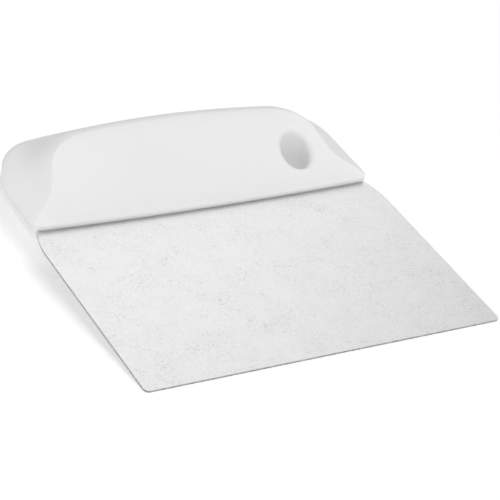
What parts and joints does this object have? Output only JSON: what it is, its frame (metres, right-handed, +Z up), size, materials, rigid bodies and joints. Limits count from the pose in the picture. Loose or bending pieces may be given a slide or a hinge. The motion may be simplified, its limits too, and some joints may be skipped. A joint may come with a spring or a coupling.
{
  "type": "bench scraper",
  "caption": "Flat rectangular steel scraper blade held by its tang in a wide wedge-shaped plastic grip with a hanging hole near one end.",
  "frame": {"origin": "centre of the bounding box's bottom face, on the surface that the tool lies on", "axes": "+X along the cutting edge, towards the end with the hanging hole; +Y from the cutting edge towards the back of the grip; +Z up from the surface that the tool lies on"},
  "size_m": [0.12, 0.1164, 0.0299],
  "materials": {
    "blade_steel": "tumbled satin, fine random speckle, no brushing direction",
    "handle_plastic": "white polypropylene with a smooth satin surface"
  },
  "bodies": {
    "root": {"blade": "blade_steel", "handle": "handle_plastic"}
  },
  "joints": []
}
